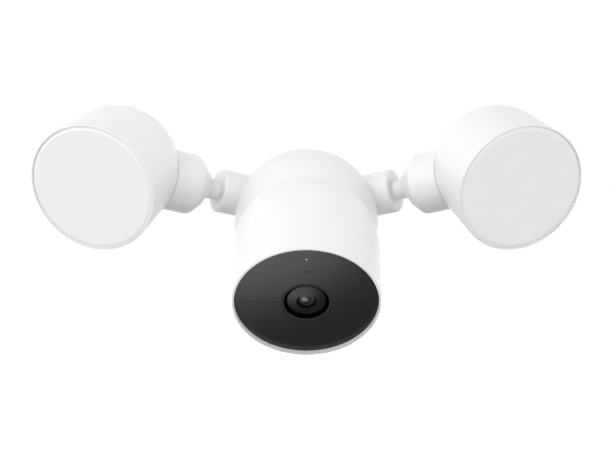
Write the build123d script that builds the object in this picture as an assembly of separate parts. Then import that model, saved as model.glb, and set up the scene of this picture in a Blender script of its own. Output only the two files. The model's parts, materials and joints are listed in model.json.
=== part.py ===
"""Wall-mounted floodlight security camera: a domed base, two aimable lamps and an aimable camera.

Row frame, in millimetres: the wall is the plane Y = 0 and the light stands out of it towards -Y.
+X is to the right seen from the front and +Z is up. The origin is the centre of the wall plate's
back face. The left arm and lamp mirror the right ones, so each is modelled once, on the right.
"""

import os
from math import atan2, cos, degrees, radians, sin, sqrt

from build123d import *

# ---------------------------------------------------------------- driving dimensions

RUN_FIT = 0.05            # radial clearance of a part that turns in its bore
EASE = 0.05               # radial clearance of fixed parts that sit in one another
SOFT_GAP = 0.3            # clearance between neighbours that move past each other
THROUGH = 1.0             # how far a cut runs past the wall that it opens
EDGE = 0.8                # rounding of the visible castings' edges

# base
BASE_R = 45.4             # outer radius of the dome and of its cylindrical skirt
BASE_CENTRE = 46.0        # from the wall to the centre of the dome
BASE_WALL = 3.0
BASE_FOOT = 1.2           # from the wall to the skirt's edge, which stands on the gasket
PLATE_R = 41.9
PLATE_THICK = 2.5
BOLT_SPACING = 69.85      # the 2 3/4 inch screw spacing of a round outlet box
BOLT_HOLE_R = 2.4
ENTRY_R = 11.0            # hole in the wall plate for the house wiring
ENTRY_BORE_R = 7.5        # clear bore of the rubber bushing in that hole

# arms
ARM_ROOT = (0, -12.0, 7.9)
ARM_SWEEP = 24.9          # degrees that an arm points forward of the wall plane
ARM_RISE = 10.5           # degrees that an arm points above the horizontal
SOCKET_R = 13.8
SOCKET_BORE_R = 10.8
SOCKET_END = 63.9         # along the arm, from its root to the socket's flat end
SOCKET_END_WALL = 4.5
SOCKET_ROUND = 1.8        # rounding of the socket's end
JOURNAL_R = 6.0
NECK_R = 6.3
PIVOT_AT = 76.7           # along the arm, from its root to the knuckle's pin
KNUCKLE_BEND = 8.0        # degrees that the collar points forward of the arm
KNUCKLE_BACK = -25.0      # degrees of travel from the rest bend
KNUCKLE_FORWARD = 35.0
KNUCKLE_PIN_R = 1.5

# lamps
COLLAR_R = 19.0
COLLAR_START = 6.5        # along the collar, from the knuckle's pin to its tapered nose
COLLAR_ROUND = 3.0
NOSE_R = 7.6
NOSE_START = -6.2
LAMP_REACH = 59.05        # from the knuckle's pin to the centre of the lamp's round back
LAMP_BACK_R = 38.2
LAMP_FACE_R = 40.0
LAMP_DEPTH = 34.4         # from the centre of the round back to the lamp's face
LAMP_WALL = 2.4
LAMP_CANT = 49.8          # degrees between the collar's axis and the way that the lamp faces
LAMP_ROLL = 37.0          # degrees that the lamp is turned downward about its collar
SPIGOT_R = 8.0
SEAM_GAP = 0.4            # open seam between the collar and the lamp

# camera
CAMERA_R = 42.0           # radius of the round back
CAMERA_RIM_R = 41.6       # outer radius of the front rim
CAMERA_LENGTH = 44.2      # from the centre of the round back to the front rim
CAMERA_CENTRE = (0, -134.5, -17.4)
CAMERA_TILT = 41.65       # degrees that the camera looks below the horizontal
CAMERA_WALL = 3.0
RIM_ROUND = 1.0           # rounding of the front rim's outer edge
FACE_R = 40.05            # radius of the black cover
FACE_RECESS = 2.7         # from the rim back to the cover's edge
FACE_CROWN = 1.8
BEZEL_R = 14.0
WINDOW_R = 10.7
LENS_R = 5.5
STATUS_LIGHT_UP = 31.4    # above the lens, on the cover
MICROPHONE_UP = 22.8
STEM_R = 5.0              # camera neck where it passes the slot in the shell
EYE_HALF = 5.0            # half the width of the neck's eye
TILT_UP = 30.0            # degrees of travel from the rest tilt
TILT_DOWN = 25.0


# ---------------------------------------------------------------- shapes used throughout

def rod(radius, low, high):
    """A cylinder on the local Z axis between two heights."""
    return Pos(0, 0, (low + high) / 2) * Cylinder(radius, high - low)


def tube(outer, inner, low, high):
    """A round tube on the local Z axis between two heights."""
    return rod(outer, low, high) - rod(inner, low - THROUGH, high + THROUGH)


def cone(low_radius, high_radius, low, high):
    """A cone frustum on the local Z axis between two heights."""
    return Pos(0, 0, (low + high) / 2) * Cone(low_radius, high_radius, high - low)


def block(x_size, y_size, low, high):
    """A block centred on the local Z axis between two heights."""
    return Pos(0, 0, (low + high) / 2) * Box(x_size, y_size, high - low)


def cross_rod(radius, low, high):
    """A cylinder on the local X axis between two places."""
    return Rot(0, 90, 0) * rod(radius, low, high)


def turned(*outline):
    """A solid of revolution about the local Z axis from (radius, height) points."""
    return revolve(Plane.XZ * make_face(Polyline(*outline, close=True)), Axis.Z)


def hexagon(across_flats, low, high):
    """A hexagonal prism on the local Z axis."""
    flat = RegularPolygon(across_flats / 2, 6, major_radius=False)
    return Pos(0, 0, low) * extrude(flat, high - low)


def bullet(back_radius, face_radius, depth):
    """A hemisphere about the origin, open towards +Z, carried on as a cone to its flat face."""
    middle = back_radius * sqrt(0.5)
    outline = ThreePointArc((0, -back_radius), (middle, -middle), (back_radius, 0))
    outline += Line((back_radius, 0), (face_radius, depth))
    outline += Line((face_radius, depth), (0, depth))
    outline += Line((0, depth), (0, -back_radius))
    return revolve(Plane.XZ * make_face(outline), Axis.Z)


def rounded(solid, radius, height):
    """The solid with its round edges at one local height filleted."""
    edges = [e for e in solid.edges().filter_by(GeomType.CIRCLE) if abs(e.arc_center.Z - height) < EASE]
    return fillet(edges, radius)


def around(count, radius, start, piece):
    """Copies of a piece spread evenly on a circle about the local Z axis."""
    step = 360 / count
    return [Rot(0, 0, start + step * n) * Pos(radius, 0, 0) * piece for n in range(count)]


def joined(pieces):
    """The union of overlapping pieces."""
    whole = pieces[0]
    for piece in pieces[1:]:
        whole += piece
    return whole


def apart(pieces):
    """A group of separate solids."""
    return Compound(children=[solid for piece in pieces for solid in piece.solids()])


def without(solid, cuts):
    """The solid with every cut taken out of it."""
    for cut in cuts:
        solid -= cut
    return solid


def both(piece):
    """A right-hand piece together with its mirror image."""
    return piece + mirror(piece, about=Plane.YZ)


# ---------------------------------------------------------------- directions and frames

UP = Vector(0, 0, 1)
FRONT = Vector(0, -1, 0)
ORIGIN = Vector(0, 0, 0)


def square_to(direction, axis):
    """The unit part of a direction that is perpendicular to an axis."""
    return (direction - axis * direction.dot(axis)).normalized()


def swung(vector, axis, angle):
    """A vector turned about an axis through the origin by the right-hand rule."""
    return vector.rotate(Axis(ORIGIN, axis), angle)


ARM = Vector(
    cos(radians(ARM_RISE)) * cos(radians(ARM_SWEEP)),
    -cos(radians(ARM_RISE)) * sin(radians(ARM_SWEEP)),
    sin(radians(ARM_RISE)),
)
PIN = square_to(UP, ARM)
COLLAR = swung(ARM, PIN, -KNUCKLE_BEND)
LAMP_SIDE = swung(square_to(FRONT, COLLAR), COLLAR, LAMP_ROLL)
LAMP = COLLAR * cos(radians(LAMP_CANT)) + LAMP_SIDE * sin(radians(LAMP_CANT))
PIVOT = Vector(ARM_ROOT) + ARM * PIVOT_AT
LAMP_CENTRE = PIVOT + COLLAR * LAMP_REACH

DOME_AT = FRONT * BASE_CENTRE
CAMERA_AT = Vector(CAMERA_CENTRE)
NECK_LENGTH = (CAMERA_AT - DOME_AT).length
NECK = (CAMERA_AT - DOME_AT).normalized()
LOOK = Vector(0, -cos(radians(CAMERA_TILT)), -sin(radians(CAMERA_TILT)))
STEM_OFF_POLE = CAMERA_TILT - degrees(atan2(-NECK.Z, -NECK.Y))

BASE_FRAME = Plane(origin=ORIGIN, x_dir=(1, 0, 0), z_dir=FRONT)
DOME_FRAME = Plane(origin=DOME_AT, x_dir=(1, 0, 0), z_dir=-FRONT)
ARM_FRAME = Plane(origin=ARM_ROOT, x_dir=PIN, z_dir=ARM)
COLLAR_FRAME = Plane(origin=PIVOT, x_dir=PIN, z_dir=COLLAR)
LAMP_FRAME = Plane(origin=LAMP_CENTRE, x_dir=square_to(COLLAR, LAMP), z_dir=LAMP)
NECK_FRAME = Plane(origin=DOME_AT, x_dir=(1, 0, 0), z_dir=NECK)
CAMERA_FRAME = Plane(origin=CAMERA_AT, x_dir=(1, 0, 0), z_dir=LOOK)


def outward(angle, height, piece):
    """Stands a piece's Z axis radially on the local Z axis, its X axis pointing down that axis."""
    return Pos(0, 0, height) * Rot(0, 0, angle) * Rot(0, 90, 0) * piece


# ---------------------------------------------------------------- base

SCREW_LINE = 9.0          # from the wall to the housing screws
SCREW_ANGLES = (-115, -65)
SCREW_R = 1.9
SCREW_HEAD_R = 3.4
SCREW_SUNK = 1.8          # depth of the screw head's seat in the skirt
SCREW_TIP = 37.0          # from the base axis to the screw's tip
TAB_TALL = 14.0
TAB_WIDE = 9.0
TAB_THICK = 2.6
SOCKET_REAR = 22.0        # where the socket's pocket starts, well inside the dome
SEAL_R = 8.4
SEAL_THICK = 1.0
SEAL_AT = SOCKET_END - 2.6
NECK_JOURNAL_R = 7.0
NECK_BOSS_R = 12.0
NECK_BOSS_REAR = 38.5     # from the dome's centre to the inner end of the boss
NECK_BOSS_FRONT = 45.6
BOARD_R = 27.0
BOARD_LINE = 30.0         # from the wall to the driver board
BOARD_THICK = 1.6
POST_R = 3.0
POST_SCREW_R = 1.4
POST_HEAD_R = 2.4
POST_HEAD_TALL = 1.8
POST_CIRCLE = 22.5
POST_START = 90
GROUND_AT = (-18, -25)
GROUND_R = 1.9
GROUND_HEAD_R = 3.6
GROUND_HEAD_TALL = 2.2


def base_housing():
    """Domed casting with both arm sockets and the boss for the camera neck."""
    socket = ARM_FRAME * rounded(rod(SOCKET_R, SOCKET_REAR, SOCKET_END), SOCKET_ROUND, SOCKET_END)
    pocket = rod(SOCKET_BORE_R, SOCKET_REAR - THROUGH, SOCKET_END - SOCKET_END_WALL)
    journal = rod(JOURNAL_R + RUN_FIT, SOCKET_REAR, SOCKET_END + THROUGH)
    seat = rod(SEAL_R + EASE, SEAL_AT - EASE, SEAL_AT + SEAL_THICK + EASE)
    outside = DOME_FRAME * bullet(BASE_R, BASE_R, BASE_CENTRE - BASE_FOOT) + both(socket)
    inside_r = BASE_R - BASE_WALL
    inside = DOME_FRAME * bullet(inside_r, inside_r, BASE_CENTRE)
    shell = outside - inside
    shell += NECK_FRAME * rod(NECK_BOSS_R, NECK_BOSS_REAR, NECK_BOSS_FRONT)
    shell -= NECK_FRAME * rod(NECK_JOURNAL_R + RUN_FIT, 0, NECK_BOSS_FRONT + THROUGH)
    shell = without(shell, [both(ARM_FRAME * cut) for cut in (pocket, journal, seat)])
    shank = rod(SCREW_R + EASE, SCREW_TIP, BASE_R + THROUGH)
    head = rod(SCREW_HEAD_R + EASE, BASE_R - SCREW_SUNK, BASE_R + THROUGH)
    return without(shell, [BASE_FRAME * outward(a, SCREW_LINE, shank + head) for a in SCREW_ANGLES])


def wall_plate():
    """Steel plate with upright tabs for the housing screws."""
    plate = rod(PLATE_R, 0, PLATE_THICK)
    middle = PLATE_THICK + TAB_TALL / 2 - THROUGH
    for angle in SCREW_ANGLES:
        plate += outward(angle, middle, block(TAB_TALL, TAB_WIDE, PLATE_R - TAB_THICK, PLATE_R))
        plate -= outward(angle, SCREW_LINE, rod(SCREW_R + EASE, SCREW_TIP, PLATE_R + THROUGH))
    for side in (-1, 1):
        plate -= Pos(side * BOLT_SPACING / 2, 0, 0) * rod(BOLT_HOLE_R, -THROUGH, PLATE_THICK + THROUGH)
    plate -= rod(ENTRY_R, -THROUGH, PLATE_THICK + THROUGH)
    plate -= Pos(*GROUND_AT, 0) * rod(GROUND_R + EASE, -THROUGH, PLATE_THICK + THROUGH)
    return BASE_FRAME * plate


def wall_gasket():
    """Foam ring under the housing's skirt."""
    return BASE_FRAME * tube(BASE_R - SOFT_GAP, PLATE_R + SOFT_GAP, 0, BASE_FOOT)


def entry_bushing():
    """Rubber bushing in the plate's wiring hole, with a flange on the inner side."""
    lip = 1.5
    flange_r = ENTRY_R + 3.0
    top = PLATE_THICK + 2 * lip
    return BASE_FRAME * turned(
        (ENTRY_BORE_R, 0),
        (ENTRY_R - EASE, 0),
        (ENTRY_R - EASE, PLATE_THICK),
        (flange_r, PLATE_THICK),
        (flange_r, PLATE_THICK + lip),
        (ENTRY_R - EASE, top),
        (ENTRY_BORE_R, top),
    )


def housing_screws():
    """Two socket-head screws through the skirt into the plate's tabs."""
    screw = rod(SCREW_R, SCREW_TIP, BASE_R - SCREW_SUNK)
    screw += rod(SCREW_HEAD_R, BASE_R - SCREW_SUNK, BASE_R - SOFT_GAP)
    screw -= hexagon(2.5, BASE_R - SCREW_SUNK + EASE, BASE_R)
    return apart([BASE_FRAME * outward(angle, SCREW_LINE, screw) for angle in SCREW_ANGLES])


def ground_screw():
    """Screw for the earth wire."""
    screw = rod(GROUND_R, SOFT_GAP, PLATE_THICK)
    screw += rod(GROUND_HEAD_R, PLATE_THICK, PLATE_THICK + GROUND_HEAD_TALL)
    screw -= block(1.0, 3 * GROUND_HEAD_R, PLATE_THICK + GROUND_HEAD_TALL / 2, 2 * PLATE_THICK)
    return BASE_FRAME * Pos(*GROUND_AT, 0) * screw


def board_posts():
    """Three posts that carry the driver board, with their screw heads."""
    top = BOARD_LINE + BOARD_THICK
    post = rod(POST_R, PLATE_THICK, BOARD_LINE) + rod(POST_SCREW_R, BOARD_LINE, top)
    post += rod(POST_HEAD_R, top, top + POST_HEAD_TALL)
    return apart([BASE_FRAME * piece for piece in around(3, POST_CIRCLE, POST_START, post)])


def driver_board():
    """Round circuit board of the lamp driver."""
    board = rod(BOARD_R, BOARD_LINE, BOARD_LINE + BOARD_THICK)
    hole = rod(POST_SCREW_R + EASE, BOARD_LINE - THROUGH, BOARD_LINE + BOARD_THICK + THROUGH)
    return BASE_FRAME * without(board, around(3, POST_CIRCLE, POST_START, hole))


def driver_parts():
    """Transformer, capacitors, choke and regulator on the driver board."""
    foot = BOARD_LINE + BOARD_THICK
    transformer = Pos(0, 5, 0) * (block(18, 14, foot, foot + 14) + block(12, 17, foot, foot + 12))
    capacitor = rounded(rod(4.5, foot, foot + 13), EDGE, foot + 13)
    choke = tube(5.0, 2.0, foot, foot + 6)
    regulator = block(10, 4.5, foot, foot + 9)
    return apart([
        BASE_FRAME * transformer,
        BASE_FRAME * Pos(-15.5, 2, 0) * capacitor,
        BASE_FRAME * Pos(-4, -14, 0) * capacitor,
        BASE_FRAME * Pos(9, -12, 0) * choke,
        BASE_FRAME * Pos(17, -3, 0) * Rot(0, 0, 90) * regulator,
    ])


def terminal_block():
    """Three-pole terminal block on the wall side of the driver board."""
    poles = 3
    pitch = 7.5
    tall = 11.0
    body = Pos(0, -13, 0) * block(poles * pitch, 10, BOARD_LINE - tall, BOARD_LINE)
    for n in range(poles):
        x = (n - (poles - 1) / 2) * pitch
        body -= Pos(x, -13, 0) * rod(2.2, BOARD_LINE - tall - THROUGH, BOARD_LINE - tall / 2)
        body -= Pos(x, -13 + 5, BOARD_LINE - tall / 3) * Box(4.5, 5, 3.5)
    return BASE_FRAME * body


# ---------------------------------------------------------------- arms: swivel in the socket

SHOULDER_R = 6.9
SHOULDER_TALL = 0.8
TAIL_AT = 50.5            # along the arm, the neck's inner end
WIRE_BORE_R = 3.2
WIRE_PORT_R = 1.5         # where the wires pass beside the knuckle's pin
WIRE_PORT_OFF = 3.7
NECK_STOP = 5.1           # from the knuckle's pin back to the end of the neck's full width
EAR_R = 4.6               # radius of the tongue and of the lower ear
TONGUE_LOW = 0.3          # heights along the knuckle's pin, from the arm's axis
TONGUE_HIGH = 6.0
LOWER_EAR = (-7.0, -0.2)
UPPER_EAR = (6.7, 8.3)
UPPER_EAR_R = 6.4
WASHER_R = 9.6
WASHER_THICK = 0.9
NUT_FLATS = 15.0
NUT_THICK = 5.5
SEAT_TOP = SOCKET_END + 3 * EASE
NUT_TOP = SOCKET_END - SOCKET_END_WALL - WASHER_THICK - 4 * EASE


def arm_neck():
    """Hollow stem that swivels in the socket and ends in the knuckle's tongue."""
    stem_end = PIVOT_AT - NECK_STOP
    neck = rod(JOURNAL_R, TAIL_AT, SEAT_TOP) + rod(NECK_R, SEAT_TOP, stem_end)
    neck += cone(SHOULDER_R, NECK_R, SEAT_TOP, SEAT_TOP + SHOULDER_TALL)
    tongue = Pos((TONGUE_LOW + TONGUE_HIGH) / 2, 0, 0) * block(
        TONGUE_HIGH - TONGUE_LOW, 2 * EAR_R, stem_end - THROUGH, PIVOT_AT)
    tongue += Pos(0, 0, PIVOT_AT) * cross_rod(EAR_R, TONGUE_LOW, TONGUE_HIGH)
    neck += tongue & rod(NECK_R, stem_end - THROUGH, PIVOT_AT + EAR_R + THROUGH)
    neck -= Pos(0, 0, PIVOT_AT) * cross_rod(KNUCKLE_PIN_R + RUN_FIT, -EAR_R, 2 * TONGUE_HIGH)
    neck -= rod(WIRE_BORE_R, TAIL_AT - THROUGH, SOCKET_END)
    neck -= Pos(0, -WIRE_PORT_OFF, 0) * rod(WIRE_PORT_R, SOCKET_END - THROUGH, PIVOT_AT + 2 * EAR_R)
    return ARM_FRAME * neck


def arm_seal():
    """Sealing ring in the groove of the socket's bore."""
    return ARM_FRAME * tube(SEAL_R, JOURNAL_R + SOFT_GAP, SEAL_AT, SEAL_AT + SEAL_THICK)


def arm_washer():
    """Friction washer between the socket's end wall and the nut."""
    return ARM_FRAME * tube(WASHER_R, JOURNAL_R + EASE, NUT_TOP, NUT_TOP + WASHER_THICK)


def arm_nut():
    """Nut that holds the neck in its socket."""
    nut = hexagon(NUT_FLATS, NUT_TOP - NUT_THICK, NUT_TOP)
    return ARM_FRAME * (nut - rod(JOURNAL_R + EASE, NUT_TOP - 2 * NUT_THICK, NUT_TOP + THROUGH))


# ---------------------------------------------------------------- knuckle and lamp collar

NECK_ROOM_R = 8.45        # about the pin, the room in which the neck's end swings
UNDERCUT_AT = 1.0         # along the collar, where the nose ends below the lower ear
SWEEP_STEPS = 5
HUB_END = 10.0            # along the collar, from the pin to the hollow behind the hub
CAVITY_R = 11.5
CAVITY_END = 14.0
RING_R = 16.5
CLIP_AT = 12.8            # along the collar, from the pin to the retaining ring
CLIP_THICK = 1.0
CLIP_R = 10.4
GROOVE_R = 7.2
SPIGOT_END = 11.5
SPIGOT_BORE_R = 5.0
BOSS_R = 3.4
BOSS_LOW = -11.0
PIN_SPAN = (-10.2, 7.8)
CLAMP_R = 1.1
CLAMP_HEIGHT = -8.6       # along the pin, where the clamp screw bears on it
CLAMP_FLATS = 1.2


def lamp_room():
    """Ball of air round the lamp's back, which shapes the outer end of the sleeve."""
    return Pos(0, 0, LAMP_REACH) * Sphere(LAMP_BACK_R + SEAM_GAP)


def nosed_sleeve():
    """Sleeve with a conical nose towards the knuckle's pin."""
    outside = turned(
        (0, NOSE_START),
        (NOSE_R, NOSE_START),
        (COLLAR_R, COLLAR_START),
        (COLLAR_R, LAMP_REACH / 2),
        (0, LAMP_REACH / 2),
    )
    outside = rounded(outside, COLLAR_ROUND, COLLAR_START)
    return rounded(outside, EDGE, NOSE_START) - lamp_room()


def neck_sweep():
    """Room that the neck sweeps between the ends of the knuckle's travel."""
    end = rod(NECK_R + SOFT_GAP, -2 * COLLAR_R, -NECK_STOP)
    step = (KNUCKLE_FORWARD - KNUCKLE_BACK) / SWEEP_STEPS
    start = KNUCKLE_BEND + KNUCKLE_BACK
    return [Rot(start + step * n, 0, 0) * end for n in range(SWEEP_STEPS + 1)]


def knuckle_fork():
    """Nosed sleeve with two ears round the neck's tongue and the boss of the clamp screw."""
    fork = nosed_sleeve() - cross_rod(NECK_ROOM_R, -UPPER_EAR[0], UPPER_EAR[0])
    fork = without(fork, neck_sweep())
    middle = (COLLAR_R + UPPER_EAR[0]) / 2
    under = block(COLLAR_R - UPPER_EAR[0], 2 * COLLAR_R, 2 * NOSE_START, UNDERCUT_AT)
    fork -= Pos(-middle, 0, 0) * under
    low, high = LOWER_EAR
    fork += Pos((low + high) / 2, 0, 0) * block(high - low, 2 * EAR_R, 0, HUB_END)
    fork += cross_rod(EAR_R, low, high)
    fork += cross_rod(UPPER_EAR_R, *UPPER_EAR)
    fork += cross_rod(BOSS_R, BOSS_LOW, low + THROUGH)
    fork -= rod(CAVITY_R, HUB_END, LAMP_REACH)
    fork -= rod(RING_R + EASE, CAVITY_END, LAMP_REACH)
    fork -= cross_rod(KNUCKLE_PIN_R + EASE, PIN_SPAN[0] - EASE, 2 * UPPER_EAR[1])
    fork -= Pos(CLAMP_HEIGHT, 0, 0) * rod(CLAMP_R + EASE, -2 * BOSS_R, 0)
    fork -= Pos(0, -WIRE_PORT_OFF, 0) * rod(WIRE_PORT_R, -EAR_R, CAVITY_END)
    return COLLAR_FRAME * fork


def knuckle_screw():
    """The knuckle's pin and the clamp screw that holds it, whose socket faces the base."""
    pin = cross_rod(KNUCKLE_PIN_R, *PIN_SPAN)
    tip = BOSS_R - SOFT_GAP
    clamp = rod(CLAMP_R, -tip, -KNUCKLE_PIN_R - EASE) - hexagon(CLAMP_FLATS, -BOSS_R, -tip + THROUGH)
    return apart([COLLAR_FRAME * pin, COLLAR_FRAME * Pos(CLAMP_HEIGHT, 0, 0) * clamp])


def lamp_collar():
    """Bearing ring fixed in the sleeve, in which the lamp's spigot turns."""
    ring = rod(RING_R, CAVITY_END, LAMP_REACH / 2) - lamp_room()
    return COLLAR_FRAME * (ring - rod(SPIGOT_R + RUN_FIT, 0, LAMP_REACH))


# ---------------------------------------------------------------- lamps

DIFFUSER_R = 39.1
DIFFUSER_SEAT = 32.0      # along the lamp, from the centre of its back
DIFFUSER_BEVEL = 2.3
DIFFUSER_DROP = 0.9
RIM_WALL = 0.8
GASKET_THICK = 1.0
LAMP_BORE_R = LAMP_BACK_R - LAMP_WALL
SINK_REAR = 7.9
SINK_THICK = 2.5
FIN_STEP = 8.0
LED_BOARD_R = 20.0
LED_SIZE = 3.5
LED_TALL = 0.8


def lamp_housing():
    """Bullet shell with the hollow spigot that turns in the collar."""
    spigot = COLLAR_FRAME * rod(SPIGOT_R, SPIGOT_END, LAMP_REACH / 2)
    housing = LAMP_FRAME * rounded(bullet(LAMP_BACK_R, LAMP_FACE_R, LAMP_DEPTH), SOFT_GAP, LAMP_DEPTH)
    housing += spigot
    housing -= LAMP_FRAME * bullet(LAMP_BORE_R, LAMP_BORE_R, LAMP_DEPTH + THROUGH)
    seat = rod(LAMP_FACE_R - RIM_WALL, DIFFUSER_SEAT - GASKET_THICK, LAMP_DEPTH + THROUGH)
    housing -= LAMP_FRAME * seat
    housing -= COLLAR_FRAME * rod(SPIGOT_BORE_R, 0, LAMP_REACH / 2)
    groove = tube(SPIGOT_R + THROUGH, GROOVE_R, CLIP_AT - EASE, CLIP_AT + CLIP_THICK + EASE)
    return housing - COLLAR_FRAME * groove


def lamp_clip():
    """Open retaining ring in the spigot's groove."""
    ring = tube(CLIP_R, GROOVE_R + EASE, CLIP_AT, CLIP_AT + CLIP_THICK)
    gap = Pos(CLIP_R, 0, 0) * block(CLIP_R, 3.0, CLIP_AT - THROUGH, CLIP_AT + CLIP_THICK + THROUGH)
    return COLLAR_FRAME * (ring - gap)


def heat_sink():
    """Finned plate that carries the LED board."""
    fins = 5
    sink = rod(LAMP_BORE_R - EASE, SINK_REAR, SINK_REAR + SINK_THICK)
    for n in range(fins):
        sink += Pos((n - (fins - 1) / 2) * FIN_STEP, 0, 0) * block(1.6, 40, -FIN_STEP, SINK_REAR + THROUGH)
    return LAMP_FRAME * sink


def led_board():
    """Metal-cored board with its LEDs in two rings."""
    top = SINK_REAR + SINK_THICK + BOARD_THICK
    led = block(LED_SIZE, LED_SIZE, top - EASE, top + LED_TALL)
    leds = around(6, LED_BOARD_R * 0.4, 0, led) + around(12, LED_BOARD_R * 0.8, 0, led)
    return LAMP_FRAME * joined([rod(LED_BOARD_R, SINK_REAR + SINK_THICK, top), led] + leds)


def reflector():
    """White cone between the LED board and the diffuser."""
    low = SINK_REAR + SINK_THICK
    high = DIFFUSER_SEAT - GASKET_THICK
    low_r = LED_BOARD_R + SOFT_GAP
    high_r = LAMP_BORE_R - 2 * SOFT_GAP
    wall = 1.2
    return LAMP_FRAME * turned((low_r, low), (low_r + wall, low), (high_r, high), (high_r - wall, high))


def lamp_gasket():
    """Silicone ring under the diffuser."""
    inner = LAMP_BORE_R + SOFT_GAP
    return LAMP_FRAME * tube(DIFFUSER_R - EASE, inner, DIFFUSER_SEAT - GASKET_THICK, DIFFUSER_SEAT)


def lamp_diffuser():
    """Frosted cover with a bevelled edge."""
    return LAMP_FRAME * turned(
        (0, DIFFUSER_SEAT),
        (DIFFUSER_R, DIFFUSER_SEAT),
        (DIFFUSER_R, LAMP_DEPTH - DIFFUSER_DROP),
        (DIFFUSER_R - DIFFUSER_BEVEL, LAMP_DEPTH),
        (0, LAMP_DEPTH),
    )


# ---------------------------------------------------------------- camera neck

FLANGE_R = 9.5
FLANGE_TALL = 1.4
EYE_R = 8.0
PIN_R = 2.5
NECK_TAIL = 32.8          # from the dome's centre to the neck's inner end
NECK_NUT_FLATS = 17.0
NECK_NUT_THICK = 5.0
NECK_WIRE_R = 2.5
NECK_PORT_AT = 76.0       # side openings for the wires, inside the camera
NECK_PORT_R = 2.0


def camera_neck():
    """Hollow stem that swivels in the dome's boss and ends in the eye that the camera tilts on."""
    foot = NECK_BOSS_FRONT + 3 * EASE
    neck = rod(NECK_JOURNAL_R, NECK_TAIL, foot) + rod(STEM_R, foot, NECK_LENGTH)
    neck += rounded(rod(FLANGE_R, foot, foot + FLANGE_TALL), SOFT_GAP, foot + FLANGE_TALL)
    neck += Pos(0, 0, NECK_LENGTH) * cross_rod(EYE_R, -EYE_HALF, EYE_HALF)
    neck -= Pos(0, 0, NECK_LENGTH) * cross_rod(PIN_R + RUN_FIT, -2 * EYE_HALF, 2 * EYE_HALF)
    neck -= rod(NECK_WIRE_R, 0, NECK_PORT_AT)
    return NECK_FRAME * (neck - Pos(0, 0, NECK_PORT_AT) * cross_rod(NECK_PORT_R, -EYE_R, EYE_R))


def camera_neck_nut():
    """Nut that holds the camera neck in the dome."""
    top = NECK_BOSS_REAR - SOFT_GAP
    nut = hexagon(NECK_NUT_FLATS, top - NECK_NUT_THICK, top)
    return NECK_FRAME * (nut - rod(NECK_JOURNAL_R + EASE, 0, NECK_BOSS_REAR))


# ---------------------------------------------------------------- camera head

FACE_EDGE = CAMERA_LENGTH - FACE_RECESS
FACE_BACK = FACE_EDGE - 2.0
FACE_CURVE = (FACE_R**2 + FACE_CROWN**2) / (2 * FACE_CROWN)
FACE_TOP = FACE_EDGE + FACE_CROWN
CAVITY = CAMERA_R - CAMERA_WALL
COVER_SEAL = 1.0
SLOT_HALF = STEM_R + 2 * SOFT_GAP
SLOT_MARGIN = 9.0         # degrees from the stem's axis to the slot's end
CHASSIS_AT = 12.0
CHASSIS_THICK = 2.0
CHEEK_THICK = 3.0
CHEEK_R = 8.5
BOSS_TALL = 1.6
MAIN_BOARD_R = 36.0
MAIN_BOARD_AT = CHASSIS_AT + CHASSIS_THICK + BOSS_TALL
MAIN_BOARD_TOP = MAIN_BOARD_AT + BOARD_THICK
SENSOR_AT = 22.0
SENSOR_SIZE = 24.0
SENSOR_TOP = SENSOR_AT + BOARD_THICK
BARREL_R = 10.2
BARREL_END = 39.6
BEZEL_BACK = 39.9
BEZEL_LAND = 1.35         # width of the bezel's flat outer band
WINDOW_BACK = 40.6
WINDOW_EDGE = 41.5
WINDOW_CROWN = 1.0
SEAM_START = 16.0         # the cover's parting groove, from the lens outwards
SEAM_END = 38.0
SEAM_WIDE = 0.24
SEAM_DEEP = 0.15
INFRARED_AT = 28.4
INFRARED_R = 28.5
EMITTER_R = 2.5
EMITTER_CIRCLE = 24.0
STATUS_LIGHT_R = 0.5
MICROPHONE_HOLE_R = 0.65
BUTTON_R = 2.4
BUTTON_AT = 5.0           # along the camera, from the centre of its round back
BUTTON_TRAVEL = 0.8
BUTTON_TAIL = 34.5
SPEAKER_AT = (21, -8, -2)
SPEAKER_R = 10.0
SPEAKER_HALF = 3.0
SPEAKER_HOLE_R = 0.75


def face_height(radius):
    """Height of the cover's outer surface at a distance from its centre."""
    return FACE_TOP - FACE_CURVE + sqrt(FACE_CURVE**2 - radius**2)


def stem_slot():
    """Wedge that the neck's stem sweeps through the shell between the ends of the tilt."""
    first = STEM_OFF_POLE - TILT_UP - SLOT_MARGIN
    last = STEM_OFF_POLE + TILT_DOWN + SLOT_MARGIN
    reach = 2 * CAMERA_R
    corners = [(0, 0)]
    for angle in (first, (first + last) / 2, last):
        corners.append((-reach * sin(radians(angle)), -reach * cos(radians(angle))))
    wedge = extrude(Plane.YZ * make_face(Polyline(*corners, close=True)), SLOT_HALF, both=True)
    return wedge


def speaker_holes():
    """Sound holes through the side of the shell, in front of the speaker."""
    hole = rod(SPEAKER_HOLE_R, 0, CAMERA_R)
    ring = [hole] + around(6, 4.0, 0, hole)
    _, y, z = SPEAKER_AT
    return [Pos(SPEAKER_AT[0] + SPEAKER_R, y, z) * Rot(0, 90, 0) * piece for piece in ring]


def camera_shell():
    """White bullet with the stem's slot, the reset button's hole and the sound holes."""
    shell = rounded(bullet(CAMERA_R, CAMERA_RIM_R, CAMERA_LENGTH), RIM_ROUND, CAMERA_LENGTH)
    shell -= bullet(CAVITY, CAVITY, FACE_BACK - COVER_SEAL)
    shell -= rod(FACE_R + 3 * EASE, FACE_BACK - COVER_SEAL, CAMERA_LENGTH + THROUGH)
    shell -= stem_slot()
    shell -= outward(-90, BUTTON_AT, rod(BUTTON_R + RUN_FIT, BUTTON_TAIL, CAMERA_R + THROUGH))
    return CAMERA_FRAME * without(shell, speaker_holes())


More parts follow.
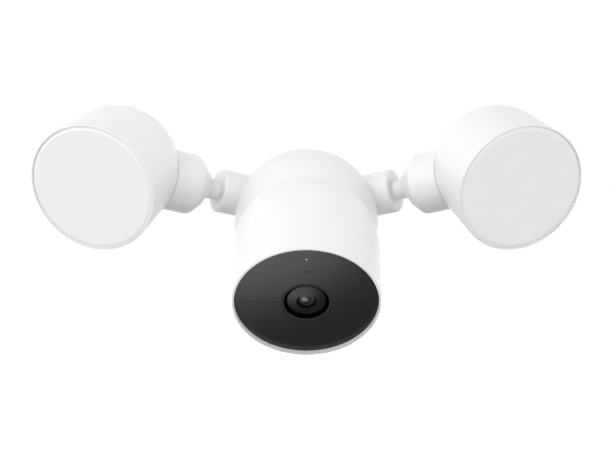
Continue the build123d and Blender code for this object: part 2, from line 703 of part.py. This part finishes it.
def camera_cover():
    """Black crowned face with openings for the lens, the status light and the microphone."""
    middle = Pos(0, 0, FACE_TOP - FACE_CURVE)
    cover = rod(FACE_R, FACE_BACK, FACE_TOP + THROUGH) & middle * Sphere(FACE_CURVE)
    seam = block(2 * SEAM_END, SEAM_WIDE, FACE_BACK, FACE_TOP + THROUGH)
    cover -= seam - middle * Sphere(FACE_CURVE - SEAM_DEEP) - rod(SEAM_START, 0, FACE_TOP + THROUGH)
    cover -= rod(BEZEL_R + 4 * EASE, 0, FACE_TOP + THROUGH)
    cover -= Pos(0, STATUS_LIGHT_UP, 0) * rod(STATUS_LIGHT_R + EASE, 0, FACE_TOP + THROUGH)
    cover -= Pos(0, MICROPHONE_UP, 0) * rod(MICROPHONE_HOLE_R, 0, FACE_TOP + THROUGH)
    return CAMERA_FRAME * cover


def cover_seal():
    """Rubber ring behind the cover's edge."""
    return CAMERA_FRAME * tube(FACE_R, CAVITY - 2 * SOFT_GAP, FACE_BACK - COVER_SEAL, FACE_BACK)


def lens_bezel():
    """Black ring with a conical inner flank that frames the lens window."""
    top = face_height(BEZEL_R) - EASE
    return CAMERA_FRAME * turned(
        (WINDOW_R - 3 * SOFT_GAP, BEZEL_BACK),
        (BEZEL_R, BEZEL_BACK),
        (BEZEL_R, top),
        (BEZEL_R - BEZEL_LAND, top),
        (WINDOW_R + EASE, WINDOW_EDGE),
        (WINDOW_R + EASE, WINDOW_BACK),
        (WINDOW_R - 3 * SOFT_GAP, WINDOW_BACK),
    )


def domed(radius, back, edge, crown):
    """A round piece on the local Z axis whose front bulges beyond its edge's height."""
    curve = (radius**2 + crown**2) / (2 * crown)
    ball = Pos(0, 0, edge + crown - curve) * Sphere(curve)
    return rod(radius, back, edge + 2 * crown) & ball


def lens_window():
    """Slightly domed glass over the lens."""
    return CAMERA_FRAME * domed(WINDOW_R, WINDOW_BACK, WINDOW_EDGE, WINDOW_CROWN)


def lens_barrel():
    """Lens barrel with its square foot on the sensor board and a funnel-shaped front."""
    barrel = block(SENSOR_SIZE, SENSOR_SIZE, SENSOR_TOP, SENSOR_TOP + 3)
    barrel += rod(BARREL_R, SENSOR_TOP, BARREL_END)
    barrel -= rod(LENS_R + 2, SENSOR_TOP - THROUGH, BARREL_END - 5)
    barrel -= rod(LENS_R + EASE, SENSOR_TOP, BARREL_END)
    return CAMERA_FRAME * (barrel - cone(LENS_R + EASE, BARREL_R - 0.6, BARREL_END - 2.4, BARREL_END))


def lens_element():
    """Front lens with a domed outer face."""
    edge = BARREL_END - 1.9
    return CAMERA_FRAME * domed(LENS_R, edge - 1.6, edge, 1.4)


def sensor_board():
    """Small board with the image sensor under the lens."""
    board = block(SENSOR_SIZE, SENSOR_SIZE, SENSOR_AT, SENSOR_TOP)
    return CAMERA_FRAME * (board + block(9, 7, SENSOR_TOP - EASE, SENSOR_TOP + 1.2))


def camera_chassis():
    """Metal frame with the tilt hinge's cheeks, the board's bosses and the switch's lug."""
    top = CHASSIS_AT + CHASSIS_THICK
    frame = rod(CAVITY - EASE, CHASSIS_AT, top)
    frame = joined([frame] + around(4, 30.0, 45, rod(2.5, top - EASE, top + BOSS_TALL)))
    low = EYE_HALF + SOFT_GAP
    high = low + CHEEK_THICK
    for start, end in ((low, high), (-high, -low)):
        frame += cross_rod(CHEEK_R, start, end)
        frame += Pos((start + end) / 2, 0, 0) * block(CHEEK_THICK, 2 * CHEEK_R, 0, CHASSIS_AT + EASE)
        frame -= cross_rod(PIN_R + EASE, start - THROUGH, end + THROUGH)
    frame += Pos(0, -(BUTTON_TAIL - 6.5), 0) * block(8, 2, BUTTON_AT - 3, CHASSIS_AT + EASE)
    return CAMERA_FRAME * (frame - Pos(0, 20, 0) * rod(6, CHASSIS_AT - THROUGH, top + THROUGH))


def tilt_pin():
    """Headed pin of the tilt hinge."""
    half = EYE_HALF + SOFT_GAP + CHEEK_THICK
    pin = cross_rod(PIN_R, -half, half)
    return CAMERA_FRAME * (pin + cross_rod(3.6, half, half + 1.5) + cross_rod(3.6, -half - 1.5, -half))


def main_board():
    """Round main circuit board."""
    return CAMERA_FRAME * rod(MAIN_BOARD_R, MAIN_BOARD_AT, MAIN_BOARD_TOP)


def main_chips():
    """Processor, memory, radio can, connectors and the status light's LED on the main board."""
    places = (
        (-20, 12, 12, 12, 1.6),
        (-22, -6, 9, 11, 1.2),
        (21, 14, 14, 11, 2.4),
        (22, -6, 7, 9, 3.0),
        (0, -24, 16, 5, 4.0),
        (0, STATUS_LIGHT_UP, 3, 2, 1.2),
    )
    foot = MAIN_BOARD_TOP
    return apart([CAMERA_FRAME * Pos(x, y, 0) * block(wide, tall, foot, foot + thick)
                  for x, y, wide, tall, thick in places])


def infrared_board():
    """Ring-shaped board on three posts behind the cover."""
    ring = tube(INFRARED_R, BEZEL_R + 1.5, INFRARED_AT, INFRARED_AT + BOARD_THICK)
    posts = around(3, INFRARED_R - 2, 90, rod(1.5, MAIN_BOARD_TOP, INFRARED_AT + EASE))
    return CAMERA_FRAME * joined([ring] + posts)


def infrared_emitters():
    """Six round-nosed infrared LEDs."""
    foot = INFRARED_AT + BOARD_THICK
    nose = foot + 3.5
    emitter = rod(EMITTER_R, foot, nose) + Pos(0, 0, nose) * Sphere(EMITTER_R)
    return apart([CAMERA_FRAME * piece for piece in around(6, EMITTER_CIRCLE, 0, emitter)])


def status_light():
    """Light pipe from the main board to the face."""
    top = face_height(STATUS_LIGHT_UP) - EASE
    return CAMERA_FRAME * Pos(0, STATUS_LIGHT_UP, 0) * rod(STATUS_LIGHT_R, MAIN_BOARD_TOP + 1.4, top)


def microphone():
    """Microphone behind its hole in the cover."""
    return CAMERA_FRAME * Pos(0, MICROPHONE_UP, 0) * block(4, 3, FACE_BACK - 1.3, FACE_BACK)


def speaker():
    """Round speaker behind the sound holes, facing sideways."""
    body = cross_rod(SPEAKER_R, -SPEAKER_HALF, SPEAKER_HALF) + cross_rod(5.5, -2 * SPEAKER_HALF, 0)
    return CAMERA_FRAME * Pos(*SPEAKER_AT) * (body - cross_rod(7.0, SPEAKER_HALF / 2, 2 * SPEAKER_HALF))


def reset_button():
    """Push button with a retaining flange inside the shell."""
    button = rod(BUTTON_R, BUTTON_TAIL, CAMERA_R - SOFT_GAP)
    button += rod(BUTTON_R + 1.2, BUTTON_TAIL + THROUGH, CAVITY - 1.2)
    return CAMERA_FRAME * outward(-90, BUTTON_AT, button)


def reset_switch():
    """Tact switch between the chassis lug and the button."""
    top = BUTTON_TAIL - BUTTON_TRAVEL - 4 * EASE
    return CAMERA_FRAME * outward(-90, BUTTON_AT, block(6, 6, BUTTON_TAIL - 5.5, top))


# ---------------------------------------------------------------- all nodes

CENTRE_NODES = (
    base_housing, wall_plate, wall_gasket, entry_bushing, housing_screws, ground_screw,
    board_posts, driver_board, driver_parts, terminal_block,
    camera_neck, camera_neck_nut,
    camera_shell, camera_cover, cover_seal, lens_bezel, lens_window, lens_barrel, lens_element,
    sensor_board, camera_chassis, tilt_pin, main_board, main_chips, infrared_board,
    infrared_emitters, status_light, microphone, speaker, reset_button, reset_switch,
)
PAIRED_NODES = (
    arm_neck, arm_seal, arm_washer, arm_nut, knuckle_fork, knuckle_screw, lamp_collar,
    lamp_housing, lamp_clip, heat_sink, led_board, reflector, lamp_gasket, lamp_diffuser,
)

os.makedirs("parts", exist_ok=True)
for make in CENTRE_NODES:
    export_step(make(), f"parts/{make.__name__}.step")
for make in PAIRED_NODES:
    right = make()
    export_step(right, f"parts/right_{make.__name__}.step")
    export_step(mirror(right, about=Plane.YZ), f"parts/left_{make.__name__}.step")
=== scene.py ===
"""Looks of the floodlight security camera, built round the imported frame."""

import json
import math

import bmesh
import bpy
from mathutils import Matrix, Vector


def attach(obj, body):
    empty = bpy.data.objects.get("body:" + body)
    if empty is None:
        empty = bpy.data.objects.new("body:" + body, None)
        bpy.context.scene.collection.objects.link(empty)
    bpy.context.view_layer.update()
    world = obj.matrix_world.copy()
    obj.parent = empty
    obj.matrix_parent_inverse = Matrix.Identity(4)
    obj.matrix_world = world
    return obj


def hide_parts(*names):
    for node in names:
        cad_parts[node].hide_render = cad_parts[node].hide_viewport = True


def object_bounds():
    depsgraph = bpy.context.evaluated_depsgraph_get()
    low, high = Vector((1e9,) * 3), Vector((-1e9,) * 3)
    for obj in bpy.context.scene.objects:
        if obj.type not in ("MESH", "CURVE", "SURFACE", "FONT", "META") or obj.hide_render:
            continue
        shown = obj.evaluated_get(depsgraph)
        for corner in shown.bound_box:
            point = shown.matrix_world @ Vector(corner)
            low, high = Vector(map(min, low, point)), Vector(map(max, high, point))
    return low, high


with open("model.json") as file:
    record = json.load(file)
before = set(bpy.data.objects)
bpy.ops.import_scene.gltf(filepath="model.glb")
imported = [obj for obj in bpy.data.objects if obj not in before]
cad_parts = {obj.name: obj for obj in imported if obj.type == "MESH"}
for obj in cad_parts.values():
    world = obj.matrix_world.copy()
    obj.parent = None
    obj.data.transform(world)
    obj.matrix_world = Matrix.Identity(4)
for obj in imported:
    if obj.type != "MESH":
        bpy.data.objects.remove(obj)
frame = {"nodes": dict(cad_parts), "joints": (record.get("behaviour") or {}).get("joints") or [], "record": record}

cad_low, cad_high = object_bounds()
nodes = frame["nodes"]
scene = bpy.context.scene
MM = 0.001

# ---------------------------------------------------------------- camera and stage

CAMERA_PLACE = (0.0, -0.965, -0.006)
CAMERA_LENS = 84.9        # mm
SENSOR_WIDTH = 36.0       # mm
NEAREST = 0.01            # range of distances that the camera sees
FARTHEST = 200.0
FLOOR_DROP = 0.45         # the floor lies this far below the object
FLOOR_HALF = 30.0
FLOOR_WHITE = 0.9
SURROUND_STRENGTH = 1.5
SURROUND = (0.065, 1.0, 0.34)   # brightness of the surround below, level and above
LIGHT_AIM = (0.0, -0.09, 0.0)   # the lights face this place
LIGHTS = (                # name, place, size, watts, lights matt surfaces, seen in reflections
    ("key", (-0.9, -0.9, 1.1), 0.9, 7.8, True, True),
    ("under", (-0.22, -0.47, -1.1), 0.6, 1.9, True, False),
    ("sheen", (-0.24, -0.60, -1.03), 0.7, 3.9, False, True),
)


def make_camera():
    """Level camera straight in front of the wall."""
    data = bpy.data.cameras.new("view")
    data.lens = CAMERA_LENS
    data.sensor_width = SENSOR_WIDTH
    data.dof.use_dof = False
    data.clip_start = NEAREST
    data.clip_end = FARTHEST
    camera = bpy.data.objects.new("view", data)
    camera.location = CAMERA_PLACE
    camera.rotation_euler = (math.radians(90), 0, 0)
    scene.collection.objects.link(camera)
    scene.camera = camera


def make_floor():
    """Plain white floor well below the object, which gets no light or reflection from it."""
    z = cad_low.z - FLOOR_DROP
    h = FLOOR_HALF
    mesh = bpy.data.meshes.new("floor")
    mesh.from_pydata([(-h, -h, z), (h, -h, z), (h, h, z), (-h, h, z)], [], [(0, 1, 2, 3)])
    floor = bpy.data.objects.new("floor", mesh)
    scene.collection.objects.link(floor)
    material = bpy.data.materials.new("floor_paint")
    material.use_nodes = True
    shader = material.node_tree.nodes["Principled BSDF"]
    shader.inputs["Base Color"].default_value = (FLOOR_WHITE, FLOOR_WHITE, FLOOR_WHITE, 1.0)
    shader.inputs["Roughness"].default_value = 1.0
    shader.inputs["Specular IOR Level"].default_value = 0.0
    shader.inputs["Emission Color"].default_value = (1.0, 1.0, 1.0, 1.0)
    shader.inputs["Emission Strength"].default_value = 1.0
    mesh.materials.append(material)
    floor.visible_diffuse = False
    floor.visible_glossy = False
    floor.visible_transmission = False


def make_world():
    """Studio surround: white to the camera, and for lighting a dome graded from below to above."""
    world = bpy.data.worlds.new("studio")
    scene.world = world
    world.use_nodes = True
    tree = world.node_tree
    tree.nodes.clear()
    out = tree.nodes.new("ShaderNodeOutputWorld")
    mix = tree.nodes.new("ShaderNodeMixShader")
    path = tree.nodes.new("ShaderNodeLightPath")
    seen = tree.nodes.new("ShaderNodeBackground")
    lit = tree.nodes.new("ShaderNodeBackground")
    ramp = tree.nodes.new("ShaderNodeValToRGB")
    split = tree.nodes.new("ShaderNodeSeparateXYZ")
    where = tree.nodes.new("ShaderNodeTexCoord")
    spread = tree.nodes.new("ShaderNodeMapRange")
    seen.inputs["Color"].default_value = (1, 1, 1, 1)
    seen.inputs["Strength"].default_value = 1.0
    spread.inputs["From Min"].default_value = -1.0
    spread.inputs["From Max"].default_value = 1.0
    below, level, above = SURROUND
    lit.inputs["Strength"].default_value = SURROUND_STRENGTH
    ramp.color_ramp.elements[0].position = 0.0
    ramp.color_ramp.elements[0].color = (below, below, below, 1)
    ramp.color_ramp.elements[1].position = 1.0
    ramp.color_ramp.elements[1].color = (above, above, above, 1)
    middle = ramp.color_ramp.elements.new(0.5)
    middle.color = (level, level, level, 1)
    link = tree.links.new
    link(where.outputs["Generated"], split.inputs[0])
    link(split.outputs["Z"], spread.inputs["Value"])
    link(spread.outputs[0], ramp.inputs[0])
    link(ramp.outputs[0], lit.inputs["Color"])
    link(path.outputs["Is Camera Ray"], mix.inputs[0])
    link(lit.outputs[0], mix.inputs[1])
    link(seen.outputs[0], mix.inputs[2])
    link(mix.outputs[0], out.inputs["Surface"])


def softbox(name, place, size, watts, matt, glossy):
    """Square studio light that points at the object, and may be hidden from matt or glossy surfaces."""
    data = bpy.data.lights.new(name, "AREA")
    data.shape = "SQUARE"
    data.size = size
    data.energy = watts
    lamp = bpy.data.objects.new(name, data)
    lamp.location = place
    lamp.rotation_mode = "QUATERNION"
    lamp.rotation_quaternion = (Vector(LIGHT_AIM) - Vector(place)).to_track_quat("-Z", "Y")
    lamp.visible_diffuse = matt
    lamp.visible_glossy = glossy
    scene.collection.objects.link(lamp)


make_camera()
make_floor()
make_world()
for light in LIGHTS:
    softbox(*light)
scene.view_settings.view_transform = "Standard"

# ---------------------------------------------------------------- materials

MOTTLE = 30               # broad mottling of a moulded surface, in grains
STREAK = 4                # broad streaks of brushed metal, in grains
STREAK_STRETCH = (0.03, 1, 1)   # draws the noise out along X
SPANGLE_GRAIN = 0.2       # fine grain of plated sheet, in crystals
MASK_GRAIN = 0.1          # fine grain of solder mask, in pitches of its copper
COPPER_HALF = 0.10        # the copper fades into the mask this far from its middle line, in pitches
TINT_ENDS = (0.3, 0.7)    # noise values of the darkest and lightest tint


def noise(tree, where, size, detail, stretch=(1, 1, 1)):
    """Noise texture in the row frame whose cells are about size metres across."""
    scaled = tree.nodes.new("ShaderNodeMapping")
    texture = tree.nodes.new("ShaderNodeTexNoise")
    scaled.inputs["Scale"].default_value = stretch
    texture.inputs["Scale"].default_value = 1.0 / size
    texture.inputs["Detail"].default_value = detail
    tree.links.new(where.outputs["Object"], scaled.inputs["Vector"])
    tree.links.new(scaled.outputs[0], texture.inputs["Vector"])
    return texture.outputs["Fac"]


def cells(tree, where, size, feature):
    """Cell texture in the row frame: distance to a cell's edge, or one value for each cell."""
    texture = tree.nodes.new("ShaderNodeTexVoronoi")
    texture.inputs["Scale"].default_value = 1.0 / size
    if feature == "edge":
        texture.feature = "DISTANCE_TO_EDGE"
        output = texture.outputs["Distance"]
    else:
        split = tree.nodes.new("ShaderNodeSeparateColor")
        tree.links.new(texture.outputs["Color"], split.inputs[0])
        output = split.outputs[0]
    tree.links.new(where.outputs["Object"], texture.inputs["Vector"])
    return output


def ramp(tree, value, stops):
    """Colour ramp over a texture's value, from (position, colour) stops."""
    node = tree.nodes.new("ShaderNodeValToRGB")
    points = node.color_ramp.elements
    for n, (position, colour) in enumerate(stops):
        point = points[n] if n < 2 else points.new(position)
        point.position = position
        point.color = (*colour, 1)
    tree.links.new(value, node.inputs[0])
    return node.outputs[0]


def surface(name, tint, stops, fine, rough, relief, **sockets):
    """Principled surface with a tint pattern, and roughness and relief that follow a fine noise.

    tint and fine are functions of (tree, where) that return a texture's value; rough is a (low, high)
    pair, relief the bump's height in metres and sockets are values set directly on the shader.
    """
    material = bpy.data.materials.new(name)
    material.use_nodes = True
    tree = material.node_tree
    shader = tree.nodes["Principled BSDF"]
    where = tree.nodes.new("ShaderNodeTexCoord")
    gloss = tree.nodes.new("ShaderNodeMapRange")
    bump = tree.nodes.new("ShaderNodeBump")
    value = fine(tree, where)
    gloss.inputs["To Min"].default_value = rough[0]
    gloss.inputs["To Max"].default_value = rough[1]
    bump.inputs["Strength"].default_value = 1.0
    bump.inputs["Distance"].default_value = relief
    link = tree.links.new
    link(value, gloss.inputs["Value"])
    link(value, bump.inputs["Height"])
    link(ramp(tree, tint(tree, where), stops), shader.inputs["Base Color"])
    link(gloss.outputs[0], shader.inputs["Roughness"])
    link(bump.outputs[0], shader.inputs["Normal"])
    for socket, number in sockets.items():
        shader.inputs[socket.replace("_", " ")].default_value = number
    return material


def moulded(name, dark, light, grain, rough, relief, **sockets):
    """Painted or moulded surface: faint broad mottling under a fine grain."""
    return surface(
        name,
        lambda tree, where: noise(tree, where, MOTTLE * grain, detail=4.0),
        zip(TINT_ENDS, (dark, light)),
        lambda tree, where: noise(tree, where, grain, detail=3.0),
        rough, relief, **sockets,
    )


def spangled(name, dark, light, size, rough, relief):
    """Plated sheet whose crystals differ a little in brightness."""
    return surface(
        name,
        lambda tree, where: cells(tree, where, size, "cell"),
        ((0.0, dark), (1.0, light)),
        lambda tree, where: noise(tree, where, SPANGLE_GRAIN * size, detail=5.0),
        rough, relief, Metallic=1.0,
    )


def brushed(name, dark, light, grain, rough, relief):
    """Metal with fine lines along the row's X axis."""
    return surface(
        name,
        lambda tree, where: noise(tree, where, STREAK * grain, detail=3.0, stretch=STREAK_STRETCH),
        zip(TINT_ENDS, (dark, light)),
        lambda tree, where: noise(tree, where, grain, detail=3.0, stretch=STREAK_STRETCH),
        rough, relief, Metallic=1.0,
    )


def circuit(name, mask, copper, pitch):
    """Solder mask with the outlines of the copper under it."""
    return surface(
        name,
        lambda tree, where: cells(tree, where, pitch, "edge"),
        ((0.0, copper), (COPPER_HALF, mask)),
        lambda tree, where: noise(tree, where, MASK_GRAIN * pitch, detail=2.0),
        rough=(0.28, 0.40), relief=3e-6,
    )


# For each slot: material name, darkest and lightest tint, grain or crystal size in metres, lowest and
# highest roughness, relief in metres, and shader sockets. A circuit has its mask, copper and pitch.
FINISH = {
    "white_casting": moulded(
        "white_paint", (0.805, 0.805, 0.80), (0.83, 0.83, 0.825), 5e-4, (0.38, 0.50), 4e-6,
    ),
    "steel": spangled(
        "zinc_steel", (0.50, 0.51, 0.53), (0.68, 0.69, 0.71), 4e-3, (0.25, 0.45), 6e-6,
    ),
    "green_brass": brushed(
        "green_screw", (0.03, 0.14, 0.04), (0.06, 0.22, 0.08), 4e-4, (0.3, 0.5), 5e-6,
    ),
    "black_rubber": moulded(
        "black_rubber", (0.012, 0.012, 0.012), (0.022, 0.022, 0.022), 6e-4, (0.7, 0.9), 1e-5,
    ),
    "face_black": moulded(
        "face_black", (0.015, 0.015, 0.016), (0.018, 0.018, 0.019), 5e-3, (0.27, 0.29), 1e-7,
    ),
    "lens_glass": moulded(
        "lens_glass", (0.008, 0.008, 0.010), (0.011, 0.011, 0.013), 3e-3, (0.30, 0.34), 1e-7, IOR=1.42,
    ),
    "frosted": moulded(
        "frosted", (0.85, 0.85, 0.85), (0.87, 0.87, 0.87), 4e-4, (0.50, 0.65), 6e-6,
    ),
    "board_green": circuit("solder_mask", (0.01, 0.075, 0.03), (0.03, 0.16, 0.07), 3e-3),
    "part_black": moulded(
        "part_black", (0.018, 0.018, 0.018), (0.03, 0.03, 0.03), 5e-4, (0.45, 0.65), 8e-6,
    ),
    "sink_aluminium": brushed(
        "aluminium", (0.62, 0.63, 0.65), (0.75, 0.76, 0.78), 3e-4, (0.32, 0.5), 6e-6,
    ),
    "led_white": circuit("led_mask", (0.82, 0.80, 0.68), (0.70, 0.68, 0.55), 4e-3),
    "reflector_white": moulded(
        "reflector", (0.86, 0.86, 0.86), (0.90, 0.90, 0.90), 8e-4, (0.15, 0.25), 1e-6,
    ),
    # Painted glow: the clear pipe gives off faint light in its own colour, standing in for light through the clear
    # plastic; it is no lamp.
    "clear_pipe": moulded(
        "clear_pipe", (0.50, 0.60, 0.54), (0.56, 0.66, 0.60), 3e-4, (0.1, 0.2), 1e-6,
        Emission_Color=(0.55, 0.62, 0.58, 1.0), Emission_Strength=0.25,
    ),
    "emitter_clear": moulded(
        "emitter", (0.10, 0.08, 0.14), (0.13, 0.11, 0.17), 8e-4, (0.05, 0.1), 1e-6,
    ),
    "button_grey": moulded(
        "button_grey", (0.30, 0.31, 0.32), (0.34, 0.35, 0.36), 5e-4, (0.45, 0.6), 8e-6,
    ),
}
LENS_COATING = moulded(
    "lens_coating", (0.010, 0.010, 0.016), (0.014, 0.013, 0.020), 3e-3, (0.20, 0.23), 1e-7, IOR=1.7,
)

JOINTS = {joint["name"]: joint for joint in frame["joints"]}
CAMERA_MIDDLE = Vector(JOINTS["camera_tilt"]["pos_m"])
# The reset button is pressed square to the way the camera looks and to the X axis.
CAMERA_LOOK = Vector((1, 0, 0)).cross(Vector(JOINTS["reset_button_press"]["axis"]))

DECIMETRES = 10           # in a metre
FLANK_END = 0.125         # radius where the bezel's flank ends, in decimetres
BAND_START = 0.127        # radius where its flat outer band starts
# The flank's near-zero black is painted shade: the recess down to the glass is drawn far darker than its black
# plastic.
FLANK_SHADE_BLACK = (0.0004, 0.0004, 0.0004)
BAND_BLACK = (0.040, 0.040, 0.041)
BEZEL_GRAIN = 4e-4


def bezel_with_painted_shade():
    """Matt black bezel whose flat outer band is dark grey and whose flank down to the glass is painted dead black,
    painted shade of the recess over its real black.
    """

    def radius(tree, where):
        """Distance from the lens's axis, in decimetres."""
        offset = tree.nodes.new("ShaderNodeVectorMath")
        across = tree.nodes.new("ShaderNodeVectorMath")
        length = tree.nodes.new("ShaderNodeVectorMath")
        offset.operation = "SUBTRACT"
        across.operation = "CROSS_PRODUCT"
        length.operation = "LENGTH"
        offset.inputs[1].default_value = CAMERA_MIDDLE
        across.inputs[1].default_value = CAMERA_LOOK * DECIMETRES
        tree.links.new(where.outputs["Object"], offset.inputs[0])
        tree.links.new(offset.outputs[0], across.inputs[0])
        tree.links.new(across.outputs[0], length.inputs[0])
        return length.outputs["Value"]

    return surface(
        "bezel_flank_shade", radius, ((FLANK_END, FLANK_SHADE_BLACK), (BAND_START, BAND_BLACK)),
        lambda tree, where: noise(tree, where, BEZEL_GRAIN, detail=3.0),
        rough=(0.55, 0.70), relief=1e-6, Specular_IOR_Level=0.0,
    )


FINISH["bezel_black"] = bezel_with_painted_shade()

for part in frame["record"]["subparts"]:
    mesh = nodes[part["node"]].data
    mesh.materials.clear()
    mesh.materials.append(FINISH[part["material_slot"]])

# ---------------------------------------------------------------- turned pieces

TURN_STEPS = 192          # faces round a turned piece
MERGE_WITHIN = 1e-8       # joins the points that lie together on the axis
SHARP_EDGE = math.radians(30)


def lathe(name, origin, axis, outline, material):
    """Piece with a closed outline of (radius, height) points, turned about an axis."""
    turn = axis.to_track_quat("Z", "Y")
    rows = len(outline)
    points = []
    faces = []
    for step in range(TURN_STEPS):
        angle = math.tau * step / TURN_STEPS
        here = step * rows
        there = (step + 1) % TURN_STEPS * rows
        for n, (radius, height) in enumerate(outline):
            local = Vector((radius * math.cos(angle), radius * math.sin(angle), height))
            points.append(origin + turn @ local)
            after = (n + 1) % rows
            if radius > 0 or outline[after][0] > 0:
                faces.append((here + n, there + n, there + after, here + after))
    mesh = bpy.data.meshes.new(name)
    mesh.from_pydata(points, [], faces)
    shape = bmesh.new()
    shape.from_mesh(mesh)
    bmesh.ops.remove_doubles(shape, verts=shape.verts, dist=MERGE_WITHIN)
    bmesh.ops.recalc_face_normals(shape, faces=shape.faces)
    shape.to_mesh(mesh)
    shape.free()
    mesh.shade_smooth()
    mesh.set_sharp_from_angle(angle=SHARP_EDGE)
    mesh.materials.append(material)
    piece = bpy.data.objects.new(name, mesh)
    scene.collection.objects.link(piece)
    return piece


def extent(node, origin, axis):
    """Lowest and highest height of a CAD node along an axis, and its largest distance from it."""
    places = [vertex.co - origin for vertex in nodes[node].data.vertices]
    heights = [place.dot(axis) for place in places]
    return min(heights), max(heights), max(place.cross(axis).length for place in places)


# ---------------------------------------------------------------- glide rings

BALL_R = 38.2 * MM        # radius of a lamp's round back
SEAM_WIDE = 0.4 * MM      # gap between a collar's end and that ball
SEAM_DEEP = 0.45 * MM     # the glide ring lies this far below the collar's outside
RING_THICK = 1.0 * MM
RING_PLAY = 0.03 * MM     # between the ring and each side of the seam


def glide_ring(side):
    """Slip ring in the seam between a collar and its lamp, on the lamp's turning axis."""
    joint = JOINTS[f"{side}_lamp_roll"]
    pivot = Vector(joint["pos_m"])
    axis = Vector(joint["axis"])
    axis *= math.copysign(1, axis.x * pivot.x)     # outwards, from the collar to the lamp
    end, collar_r = extent(f"{side}_knuckle_fork", pivot, axis)[1:]
    socket_r = BALL_R + SEAM_WIDE
    centre = end + math.sqrt(socket_r**2 - collar_r**2)
    outer = collar_r - SEAM_DEEP
    inner = outer - RING_THICK
    back = [(r, centre - math.sqrt(socket_r**2 - r**2) + RING_PLAY) for r in (inner, outer)]
    front = [(r, centre - math.sqrt(BALL_R**2 - r**2) - RING_PLAY) for r in (outer, inner)]
    ring = lathe(f"{side}_glide_ring", pivot, axis, back + front, FINISH["white_casting"])
    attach(ring, f"{side}_collar")


for side in ("right", "left"):
    glide_ring(side)

# ---------------------------------------------------------------- lens

WINDOW_CROWN = 1.0 * MM   # how far the window's front bulges beyond its edge
LENS_CROWN = 2.0 * MM
LENS_GAP = 0.1 * MM       # round the front lens
DOME_STEPS = 32           # steps across a dome's curve


def dome(name, node, back, top, hole, radius, crown, material):
    """Flat-backed glass with a finely turned bulging front and perhaps a hole, in a CAD node's place."""
    curve = (radius**2 + crown**2) / (2 * crown)
    widest = math.asin(radius / curve)
    narrowest = math.asin(hole / curve)
    outline = [(hole, back), (radius, back)]
    for n in range(DOME_STEPS + 1):
        angle = widest + (narrowest - widest) * n / DOME_STEPS
        outline.append((curve * math.sin(angle), top - curve * (1 - math.cos(angle))))
    glass = lathe(name, CAMERA_MIDDLE, CAMERA_LOOK, outline, material)
    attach(glass, "camera")
    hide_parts(node)


back, top, window_r = extent("lens_window", CAMERA_MIDDLE, CAMERA_LOOK)
lens_r = extent("lens_element", CAMERA_MIDDLE, CAMERA_LOOK)[2]
hole_r = lens_r + LENS_GAP
dome("window_glass", "lens_window", back, top, hole_r, window_r, WINDOW_CROWN, FINISH["lens_glass"])
dome("front_lens", "lens_element", back, top, 0, lens_r, LENS_CROWN, LENS_COATING)
